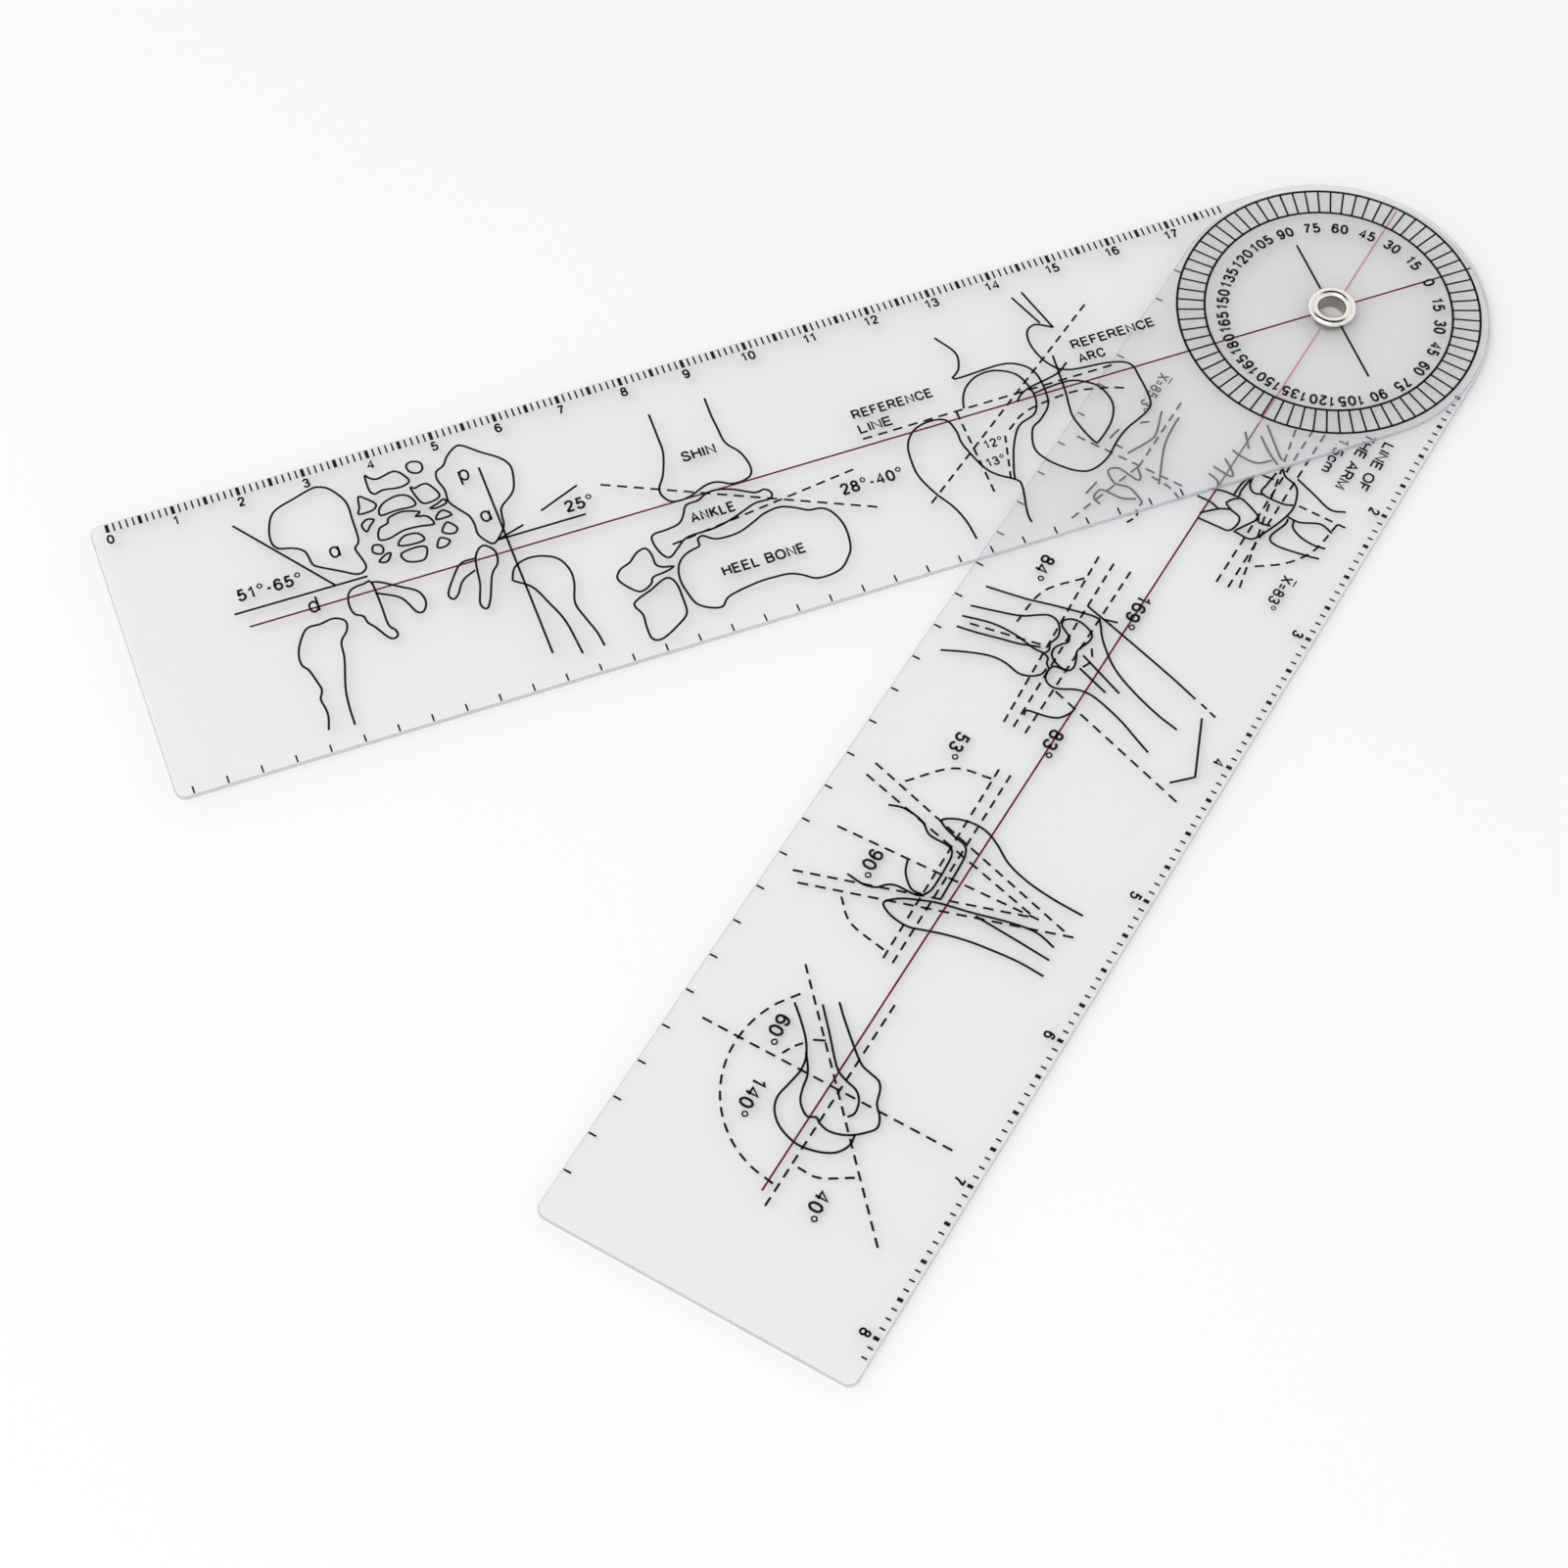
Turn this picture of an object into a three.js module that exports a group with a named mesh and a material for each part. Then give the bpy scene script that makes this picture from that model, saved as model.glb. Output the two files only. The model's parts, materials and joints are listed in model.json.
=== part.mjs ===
// A clear plastic goniometer: two identical straight arms with a round head, turning on one metal eyelet.
// The stationary arm lies on top and points along -X from the pivot. The moving arm lies under it.
// The eyelet's thick rolled flange sits on the stationary arm, its barrel passes through both heads, and
// its lower end is curled outwards under the moving arm. The object lies flat, with +Z up and its origin
// at the middle of its footprint, on the surface it lies on.
import * as THREE from "three";

// Driving dimensions, in millimetres and degrees.
const ARM_WIDTH = 49.4;
const ARM_LENGTH = 214.4; // from the head's crown to the square end
const PIVOT_FROM_CROWN = 24.2;
const CORNER_RADIUS = 1.6; // the two corners of the square end
const SHEET_THICKNESS = 0.8;
const MOVING_ARM_ANGLE = -140.55; // the way the moving arm points, counted from +X, at rest
const FACE_GAP = 0.1; // between any two pieces stacked on the pivot

const BORE_RADIUS = 2.05; // the hole right through the eyelet
const BARREL_RADIUS = 2.4; // the barrel's outside
const RUNNING_CLEARANCE = 0.1; // between the barrel and the holes that it passes through
const FLANGE_RADIUS = 3.75;
const FLANGE_HEIGHT = 0.9;
const CREST_RADIUS = 2.9; // the flange is highest on this circle
const FUNNEL_DEPTH = 0.6; // from the crest down to where the bore is straight
const CURL_RADIUS = 2.7; // the lower end, curled out to hold the moving arm
const CURL_HEIGHT = 0.4;

const ROUND_SEGMENTS = 48; // facets in a full circle
const ARC_SEGMENTS = 5; // facets in each rounded edge of a turned profile

const HEAD_RADIUS = ARM_WIDTH / 2;
const HOLE_RADIUS = BARREL_RADIUS + RUNNING_CLEARANCE;

// The stack on the pivot, from the surface up.
const MOVING_ARM_BASE = CURL_HEIGHT + FACE_GAP;
const STATIONARY_ARM_BASE = MOVING_ARM_BASE + SHEET_THICKNESS + FACE_GAP;
const FLANGE_BASE = STATIONARY_ARM_BASE + SHEET_THICKNESS + FACE_GAP;
const FLANGE_TOP = FLANGE_BASE + FLANGE_HEIGHT;

const clearPlastic = new THREE.MeshStandardMaterial({
  color: 0xe4e4ea,
  roughness: 0.12,
  metalness: 0,
  transparent: true,
  opacity: 0.4,
});
const nickelPlate = new THREE.MeshStandardMaterial({
  color: 0xd9d4c8,
  roughness: 0.22,
  metalness: 1,
});

function namedMesh(name, geometry, material) {
  const mesh = new THREE.Mesh(geometry, material);
  mesh.name = name;
  return mesh;
}

// An arm's outline, with its pivot hole at the origin and its square end on +X.
function armOutline() {
  const headX = HEAD_RADIUS - PIVOT_FROM_CROWN;
  const endX = ARM_LENGTH - PIVOT_FROM_CROWN;
  const cornerX = endX - CORNER_RADIUS;
  const cornerY = HEAD_RADIUS - CORNER_RADIUS;
  const outline = new THREE.Shape();
  outline.absarc(headX, 0, HEAD_RADIUS, Math.PI / 2, (3 * Math.PI) / 2, false);
  outline.absarc(cornerX, -cornerY, CORNER_RADIUS, -Math.PI / 2, 0, false);
  outline.absarc(cornerX, cornerY, CORNER_RADIUS, 0, Math.PI / 2, false);
  outline.closePath();
  const hole = new THREE.Path();
  hole.absarc(0, 0, HOLE_RADIUS, 0, 2 * Math.PI, true);
  outline.holes.push(hole);
  return outline;
}

function arm(name) {
  const geometry = new THREE.ExtrudeGeometry(armOutline(), {
    depth: SHEET_THICKNESS,
    bevelEnabled: false,
    curveSegments: ROUND_SEGMENTS / 2,
  });
  return namedMesh(name, geometry, clearPlastic);
}

// Points on part of an ellipse in a turned profile, from one angle to the other.
function roll(centreR, centreZ, across, up, fromDegrees, toDegrees) {
  const points = [];
  for (let i = 0; i <= ARC_SEGMENTS; i++) {
    const angle = THREE.MathUtils.degToRad(
      fromDegrees + ((toDegrees - fromDegrees) * i) / ARC_SEGMENTS,
    );
    points.push(
      new THREE.Vector2(
        centreR + across * Math.cos(angle),
        centreZ + up * Math.sin(angle),
      ),
    );
  }
  return points;
}

// Turns a closed profile of (radius, height) points about the pivot axis.
function turned(name, profile) {
  const closed = [...profile, profile[0].clone()];
  const geometry = new THREE.LatheGeometry(closed, ROUND_SEGMENTS);
  geometry.rotateX(Math.PI / 2);
  return namedMesh(name, geometry, nickelPlate);
}

// The eyelet: a rolled flange that runs down a funnel into the bore, and a curl at the lower end.
function pivotEyelet() {
  const mouth = CURL_HEIGHT * 0.8;
  const curlRoll = CURL_HEIGHT / 2;
  const lowerRoll = FLANGE_HEIGHT * 0.4;
  const upperRoll = FLANGE_HEIGHT - lowerRoll;
  const rollWidth = FLANGE_RADIUS - CREST_RADIUS;
  const funnelWidth = CREST_RADIUS - BORE_RADIUS;
  const widest = FLANGE_BASE + lowerRoll;
  const profile = [
    ...roll(BORE_RADIUS + mouth, mouth, mouth, mouth, 180, 270),
    ...roll(CURL_RADIUS - curlRoll, curlRoll, curlRoll, curlRoll, 270, 450),
    new THREE.Vector2(BARREL_RADIUS, CURL_HEIGHT),
    new THREE.Vector2(BARREL_RADIUS, FLANGE_BASE),
    ...roll(FLANGE_RADIUS - lowerRoll, widest, lowerRoll, lowerRoll, 270, 360),
    ...roll(CREST_RADIUS, widest, rollWidth, upperRoll, 0, 90).slice(1),
    ...roll(CREST_RADIUS, FLANGE_TOP - FUNNEL_DEPTH, funnelWidth, FUNNEL_DEPTH, 90, 180).slice(1),
  ];
  return turned("pivot_eyelet", profile);
}

const assembly = new THREE.Group();

const stationaryArm = arm("stationary_arm");
stationaryArm.rotation.z = Math.PI;
stationaryArm.position.z = STATIONARY_ARM_BASE;
assembly.add(stationaryArm);

const movingArm = arm("moving_arm");
movingArm.rotation.z = THREE.MathUtils.degToRad(MOVING_ARM_ANGLE);
movingArm.position.z = MOVING_ARM_BASE;
assembly.add(movingArm);

assembly.add(pivotEyelet());

// The origin moves from the pivot to the middle of the footprint.
const footprint = new THREE.Box3().setFromObject(assembly, true);
const middle = footprint.getCenter(new THREE.Vector3());
assembly.position.set(-middle.x, -middle.y, -footprint.min.z);

const group = new THREE.Group();
group.add(assembly);

export default group;
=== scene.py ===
import json
import math

import bmesh
import bpy
from mathutils import Matrix, Quaternion, Vector

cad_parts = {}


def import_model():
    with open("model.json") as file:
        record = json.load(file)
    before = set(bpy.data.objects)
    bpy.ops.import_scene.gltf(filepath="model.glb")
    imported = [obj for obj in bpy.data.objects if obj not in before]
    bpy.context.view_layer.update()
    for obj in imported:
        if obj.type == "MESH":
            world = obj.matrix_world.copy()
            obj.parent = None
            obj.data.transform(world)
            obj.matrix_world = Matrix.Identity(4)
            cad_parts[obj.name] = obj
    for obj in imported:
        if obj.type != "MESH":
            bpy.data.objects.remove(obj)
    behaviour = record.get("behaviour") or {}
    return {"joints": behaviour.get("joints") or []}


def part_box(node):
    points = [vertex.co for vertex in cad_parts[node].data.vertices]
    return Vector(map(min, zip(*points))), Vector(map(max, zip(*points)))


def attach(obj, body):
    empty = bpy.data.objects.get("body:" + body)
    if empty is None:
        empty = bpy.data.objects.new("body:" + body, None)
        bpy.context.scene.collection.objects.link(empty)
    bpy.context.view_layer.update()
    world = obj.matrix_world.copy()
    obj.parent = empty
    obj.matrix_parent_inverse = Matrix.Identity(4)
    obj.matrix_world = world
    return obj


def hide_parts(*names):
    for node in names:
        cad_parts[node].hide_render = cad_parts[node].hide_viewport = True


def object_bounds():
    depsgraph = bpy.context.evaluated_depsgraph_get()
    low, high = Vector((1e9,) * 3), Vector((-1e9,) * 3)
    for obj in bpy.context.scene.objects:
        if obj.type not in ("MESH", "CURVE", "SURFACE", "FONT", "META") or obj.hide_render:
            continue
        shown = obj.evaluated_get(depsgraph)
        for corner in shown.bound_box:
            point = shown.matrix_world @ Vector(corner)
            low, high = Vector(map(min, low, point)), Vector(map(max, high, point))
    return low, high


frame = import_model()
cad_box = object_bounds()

# The goniometer's look: two clear sheets, the metal eyelet, and the printing.
# Drawing sizes are in millimetres on an arm's printed face, with the pivot at the origin:
# on the stationary arm +X points from the square end to the dial, and on the moving arm
# from the dial to the square end. The printing reads along +X on both.
MM = 0.001
PIVOT = Vector(frame["joints"][0]["pos_m"])
MOVING_ARM_TURN = -140.55  # degrees from the row's +X to the moving arm's own +X, at rest
LOOK = Vector((0.18195, 0.47559, -0.86065))  # the way the camera looks

ARM_LOW, ARM_HIGH = (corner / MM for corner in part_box("stationary_arm"))
ARM_WIDTH = ARM_HIGH.y - ARM_LOW.y
SHEET_THICKNESS = ARM_HIGH.z - ARM_LOW.z
CROWN_X = ARM_HIGH.x - PIVOT.x / MM
SQUARE_END_X = PIVOT.x / MM - ARM_LOW.x
CORNER_RADIUS = 1.6
EDGE_RADIUS = 0.16  # of the sheets' rims
SHEET_HOLE_RADIUS = 2.5
FACE_GAP = 0.1  # between the pieces stacked on the pivot

RIM = 1  # a sheet's second material
POLISHED, SHADED_DULL, CONTACT_SHADOW = range(3)  # the eyelet's materials, in their order: polished plate, duller plate with painted shade, and a painted contact shadow

INK_BITE = 0.006  # how far the ink reaches into the sheet
BLACK_INK_HEIGHT = 0.026
RED_INK_HEIGHT = 0.018
LINE_WIDTH = 0.35
SMOOTH_STEP = 0.6  # between the points of a smooth curve
DASH = 1.5
DASH_GAP = 0.95
MITRE_LIMIT = 1.5
LETTER_WEIGHT = 0.18  # a letter's stroke, in capital heights
LETTER_GAP = 0.1  # between two letters' inked edges, in capital heights
LETTER_STRETCH = 1.04
DEGREE_RING_WEIGHT = 0.6  # of the lettering's own stroke

INCH = 25.4
TICK_WIDTH = 0.27
BOLD_TICK_WIDTH = 0.56
NUMERAL_WEIGHT = 0.19
RED_LINE_WIDTH = 0.3


# ------------------------------ materials

def new_material(name):
    """An empty node material with its Principled shader."""
    material = bpy.data.materials.new(name)
    material.use_nodes = True
    nodes = material.node_tree.nodes
    nodes.clear()
    output = nodes.new("ShaderNodeOutputMaterial")
    shader = nodes.new("ShaderNodeBsdfPrincipled")
    material.node_tree.links.new(shader.outputs["BSDF"], output.inputs["Surface"])
    return material, shader


def noise(material, scale, detail=3.0, stretch=(1.0, 1.0, 1.0)):
    """Noise over the object's own coordinates. The scale is in features per metre."""
    nodes = material.node_tree.nodes
    links = material.node_tree.links
    place = nodes.new("ShaderNodeTexCoord")
    mapping = nodes.new("ShaderNodeMapping")
    mapping.inputs["Scale"].default_value = stretch
    texture = nodes.new("ShaderNodeTexNoise")
    texture.inputs["Scale"].default_value = scale
    texture.inputs["Detail"].default_value = detail
    links.new(place.outputs["Object"], mapping.inputs["Vector"])
    links.new(mapping.outputs["Vector"], texture.inputs["Vector"])
    return texture.outputs["Fac"]


def spread(material, value, low, high):
    """Spreads a noise value, which seldom leaves 0.3 to 0.7, over a range of numbers."""
    node = material.node_tree.nodes.new("ShaderNodeMapRange")
    node.inputs["From Min"].default_value = 0.3
    node.inputs["From Max"].default_value = 0.7
    node.inputs["To Min"].default_value = low
    node.inputs["To Max"].default_value = high
    material.node_tree.links.new(value, node.inputs["Value"])
    return node.outputs["Result"]


def blotches(material, value, first, second):
    """A colour that drifts between two colours with a noise value."""
    node = material.node_tree.nodes.new("ShaderNodeValToRGB")
    node.color_ramp.elements[0].position = 0.35
    node.color_ramp.elements[0].color = (*first, 1)
    node.color_ramp.elements[1].position = 0.65
    node.color_ramp.elements[1].color = (*second, 1)
    material.node_tree.links.new(value, node.inputs["Fac"])
    return node.outputs["Color"]


def relief(material, value, depth, shader):
    """Gives the shader a fine relief of that depth in metres."""
    node = material.node_tree.nodes.new("ShaderNodeBump")
    node.inputs["Distance"].default_value = depth
    node.inputs["Strength"].default_value = 0.5
    material.node_tree.links.new(value, node.inputs["Height"])
    material.node_tree.links.new(node.outputs["Normal"], shader.inputs["Normal"])


def clear_plastic(name, first, second, alpha, alpha_inside):
    """Clear sheet with a faint milky haze, handling smudges in its gloss and hair-fine scratches.

    A face met from inside the sheet can be clearer than from outside, as the far rims are, so the rims'
    painted shade shows on the near rims only.
    """
    material, shader = new_material(name)
    links = material.node_tree.links
    links.new(blotches(material, noise(material, 45), first, second), shader.inputs["Base Color"])
    smudges = noise(material, 70, detail=5)
    links.new(spread(material, smudges, 0.05, 0.16), shader.inputs["Roughness"])
    scratches = noise(material, 900, detail=2, stretch=(0.06, 1.0, 1.0))
    relief(material, scratches, 0.000004, shader)
    shader.inputs["Alpha"].default_value = alpha
    if alpha_inside != alpha:
        nodes = material.node_tree.nodes
        side = nodes.new("ShaderNodeNewGeometry")
        reach = nodes.new("ShaderNodeMapRange")
        reach.inputs["To Min"].default_value = alpha
        reach.inputs["To Max"].default_value = alpha_inside
        links.new(side.outputs["Backfacing"], reach.inputs["Value"])
        links.new(reach.outputs["Result"], shader.inputs["Alpha"])
    shader.inputs["IOR"].default_value = 1.5
    shader.inputs["Specular IOR Level"].default_value = 0.8
    return material


def nickel(name, first, second, polished, worn):
    """Nickel plate, slightly warm, its roughness running from polished to worn."""
    material, shader = new_material(name)
    links = material.node_tree.links
    tone = blotches(material, noise(material, 600), first, second)
    links.new(tone, shader.inputs["Base Color"])
    wear = noise(material, 1500, detail=5)
    links.new(spread(material, wear, polished, worn), shader.inputs["Roughness"])
    relief(material, noise(material, 3000, detail=3), 0.000004, shader)
    shader.inputs["Metallic"].default_value = 1.0
    return material


def ink(name, first, second):
    """Screen ink: nearly even, with a slightly grainy sheen."""
    material, shader = new_material(name)
    links = material.node_tree.links
    links.new(blotches(material, noise(material, 900), first, second), shader.inputs["Base Color"])
    grain = noise(material, 5000, detail=2)
    links.new(spread(material, grain, 0.42, 0.62), shader.inputs["Roughness"])
    relief(material, grain, 0.000003, shader)
    shader.inputs["Specular IOR Level"].default_value = 0.1
    return material


SHEET_FACE = clear_plastic("sheet_face", (0.70, 0.70, 0.71), (0.69, 0.685, 0.73), 0.12, 0.12)
# The rims: darker and less clear than the faces from outside, painted shade for the dark line along a
# clear sheet's edge
SHADED_SHEET_RIM = clear_plastic("sheet_rim_painted_shade", (0.40, 0.38, 0.46), (0.34, 0.32, 0.41), 0.55, 0.14)
NICKEL = nickel("nickel_plate", (0.88, 0.855, 0.78), (0.93, 0.91, 0.85), 0.06, 0.15)
# Duller and much darker than the plate: painted shade for the bore, the barrel and the flange's underside
SHADED_DULL_NICKEL = nickel("dull_nickel_painted_shade", (0.36, 0.325, 0.285), (0.43, 0.39, 0.345), 0.2, 0.34)
# Near black: a painted contact shadow on the flange's lowest band, where it meets the sheet
CONTACT_SHADOW_NICKEL = nickel("nickel_painted_contact_shadow", (0.045, 0.04, 0.036), (0.07, 0.062, 0.055), 0.3, 0.45)
BLACK = ink("black_print", (0.006, 0.006, 0.007), (0.012, 0.012, 0.013))
RED = ink("red_print", (0.12, 0.006, 0.014), (0.17, 0.009, 0.02))
# Paler red: the moving arm's red print with a painted veil of light from the stationary sheet lying over
# it under the dial
VEILED_RED = ink("red_print_painted_veil", (0.50, 0.17, 0.22), (0.56, 0.21, 0.26))


# ------------------------------ places and pieces

def face_frame(node, turn):
    """Takes millimetres on an arm's printed face to metres in the row frame."""
    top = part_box(node)[1].z
    place = Matrix.Translation((PIVOT.x, PIVOT.y, top))
    return place @ Matrix.Rotation(math.radians(turn), 4, "Z") @ Matrix.Scale(MM, 4)


STATIONARY = "stationary_arm"
MOVING = "moving_arm"
FACES = {STATIONARY: face_frame(STATIONARY, 0), MOVING: face_frame(MOVING, MOVING_ARM_TURN)}


def finished_piece(name, mesh, materials, body):
    """Puts a built mesh in the scene, with its materials, riding on a body."""
    for material in materials:
        mesh.materials.append(material)
    piece = bpy.data.objects.new(name, mesh)
    bpy.context.scene.collection.objects.link(piece)
    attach(piece, body)
    return piece


def mesh_from(form, name, placing):
    """Ends a bmesh: faces outwards, and its points taken to the row frame."""
    bmesh.ops.recalc_face_normals(form, faces=form.faces)
    form.transform(placing)
    mesh = bpy.data.meshes.new(name)
    form.to_mesh(mesh)
    form.free()
    return mesh


def direction(degrees):
    """A step of length 1, counted round from +X."""
    turn = math.radians(degrees)
    return Vector((math.cos(turn), math.sin(turn)))


def ellipse_arc(centre, across, up, start, end, steps):
    """Points on part of an ellipse, from one angle to another in degrees, both ends among them."""
    ways = [direction(start + (end - start) * i / steps) for i in range(steps + 1)]
    return [(centre[0] + across * way.x, centre[1] + up * way.y) for way in ways]


def arc(centre, radius, start, end, steps):
    return ellipse_arc(centre, radius, radius, start, end, steps)


# ------------------------------ the two clear sheets

def arm_outline(inset):
    """An arm's outline, moved inwards by inset, with its square end on +X."""
    half = ARM_WIDTH / 2
    corner_x = SQUARE_END_X - CORNER_RADIUS
    corner_y = half - CORNER_RADIUS
    corner_radius = CORNER_RADIUS - inset
    head = arc((half - CROWN_X, 0), half - inset, 90, 270, 120)
    near = arc((corner_x, -corner_y), corner_radius, -90, 0, 8)
    far = arc((corner_x, corner_y), corner_radius, 0, 90, 8)
    return head + near + far


def hole_outline(inset):
    """The pivot hole's outline, moved outwards by inset, with a point every 5 degrees."""
    return arc((0, 0), SHEET_HOLE_RADIUS + inset, 360, 5, 71)


def rim_profile():
    """(inset, height) of a sheet's rounded rim, from its top face to its bottom face."""
    top = arc((EDGE_RADIUS, -EDGE_RADIUS), EDGE_RADIUS, 90, 180, 4)
    bottom = [(inset, -SHEET_THICKNESS - height) for inset, height in reversed(top)]
    return top + bottom


def skin_rings(form, rings):
    """Joins closed rings of points with quads, and returns the first and the last ring's edges."""
    rows = [[form.verts.new(point) for point in ring] for ring in rings]
    for upper, lower in zip(rows, rows[1:]):
        for i in range(len(upper)):
            j = (i + 1) % len(upper)
            face = form.faces.new((upper[i], upper[j], lower[j], lower[i]))
            face.smooth = True
            face.material_index = RIM
    ends = []
    for row in (rows[0], rows[-1]):
        ends.append([form.edges.get((row[i - 1], row[i])) for i in range(len(row))])
    return ends


def clear_sheet(name, body, node, placing):
    """One arm: a flat sheet with softly rounded rims, outside and round the pivot hole."""
    form = bmesh.new()
    profile = rim_profile()
    outer = [[(x, y, z) for x, y in arm_outline(inset)] for inset, z in profile]
    hole = [[(x, y, z) for x, y in hole_outline(inset)] for inset, z in profile]
    outer_ends = skin_rings(form, outer)
    hole_ends = skin_rings(form, hole)
    for outer_edges, hole_edges in zip(outer_ends, hole_ends):
        bmesh.ops.triangle_fill(form, edges=outer_edges + hole_edges, use_beauty=True)
    mesh = mesh_from(form, name, placing)
    piece = finished_piece(name, mesh, [SHEET_FACE, SHADED_SHEET_RIM], body)
    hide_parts(node)


# ------------------------------ the eyelet

def turned_piece(name, profile, node, finishes_and_painted_shades, which_finish):
    """Turns a closed (radius, height) profile about the pivot, in millimetres.

    The last argument names the finish, or the painted shade, of the face at a radius and a height.
    """
    steps = 128
    form = bmesh.new()
    rings = []
    for i in range(steps):
        way = direction(360 * i / steps)
        rings.append([form.verts.new((r * way.x, r * way.y, z)) for r, z in profile])
    for i in range(steps):
        for j in range(len(profile)):
            this, beyond = rings[i], rings[(i + 1) % steps]
            k = (j + 1) % len(profile)
            face = form.faces.new((this[j], beyond[j], beyond[k], this[k]))
            face.smooth = True
            middle = (Vector(profile[j]) + Vector(profile[k])) / 2
            face.material_index = which_finish(*middle)
    placing = Matrix.Translation((PIVOT.x, PIVOT.y, 0)) @ Matrix.Scale(MM, 4)
    mesh = mesh_from(form, name, placing)
    piece = finished_piece(name, mesh, finishes_and_painted_shades, "stationary_arm")
    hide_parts(node)


def eyelet():
    """The thick rolled flange, the barrel with its open bore, and the curl at the lower end."""
    low, high = (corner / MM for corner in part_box("pivot_eyelet"))
    flange_radius = (high.x - low.x) / 2
    flange_base = ARM_HIGH.z + FACE_GAP
    crest_radius = 2.9  # the flange is highest on this circle
    bore_radius = 2.05
    barrel_radius = 2.4
    curl_radius = 2.7
    curl_height = 0.4
    curl = curl_height / 2
    mouth = 0.3  # the rounding at the bore's lower end
    lower_roll = (high.z - flange_base) * 0.4
    widest = flange_base + lower_roll
    upper_roll = high.z - widest
    rim_width = flange_radius - crest_radius
    funnel_width = crest_radius - bore_radius
    funnel_depth = 0.6
    funnel_end = high.z - funnel_depth
    profile = arc((bore_radius + mouth, mouth), mouth, 180, 270, 8)
    profile += arc((curl_radius - curl, curl), curl, 270, 450, 12)
    profile += [(barrel_radius, curl_height), (barrel_radius, flange_base)]
    profile += arc((flange_radius - lower_roll, widest), lower_roll, 270, 360, 8)
    profile += ellipse_arc((crest_radius, widest), rim_width, upper_roll, 0, 90, 12)[1:]
    profile += ellipse_arc((crest_radius, funnel_end), funnel_width, funnel_depth, 90, 180, 12)[1:]
    # How high the painted contact shadow reaches above the flange's base
    contact_shadow_band = 0.3
    hair = 0.01

    def which_finish(radius, height):
        """Duller plate darkened with painted shade in the bore and below the flange, and a painted
        contact shadow where the flange meets the sheet.
        """
        if radius < bore_radius + hair or height < flange_base - hair:
            return SHADED_DULL
        return CONTACT_SHADOW if height < flange_base + contact_shadow_band else POLISHED

    # Polished plate, duller plate with painted shade, and a painted contact shadow
    finishes_and_painted_shades = [NICKEL, SHADED_DULL_NICKEL, CONTACT_SHADOW_NICKEL]
    turned_piece("rolled_eyelet", profile, "pivot_eyelet", finishes_and_painted_shades, which_finish)


# ------------------------------ printing

def smooth_path(points, closed):
    """A smooth curve through the points, as a path of short straight steps."""
    count = len(points)
    path = []
    for i in range(count if closed else count - 1):
        if closed:
            before, here, ahead, beyond = (Vector(points[(i + k) % count]) for k in (-1, 0, 1, 2))
        else:
            here, ahead = Vector(points[i]), Vector(points[i + 1])
            before = Vector(points[i - 1]) if i else 2 * here - ahead
            beyond = Vector(points[i + 2]) if i + 2 < count else 2 * ahead - here
        steps = max(3, round((ahead - here).length / SMOOTH_STEP))
        for step in range(steps):
            t = step / steps
            path.append(0.5 * (
                2 * here
                + (ahead - before) * t
                + (2 * before - 5 * here + 4 * ahead - beyond) * t * t
                + (3 * here - before - 3 * ahead + beyond) * t * t * t
            ))
    if not closed:
        path.append(Vector(points[-1]))
    return path


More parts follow.
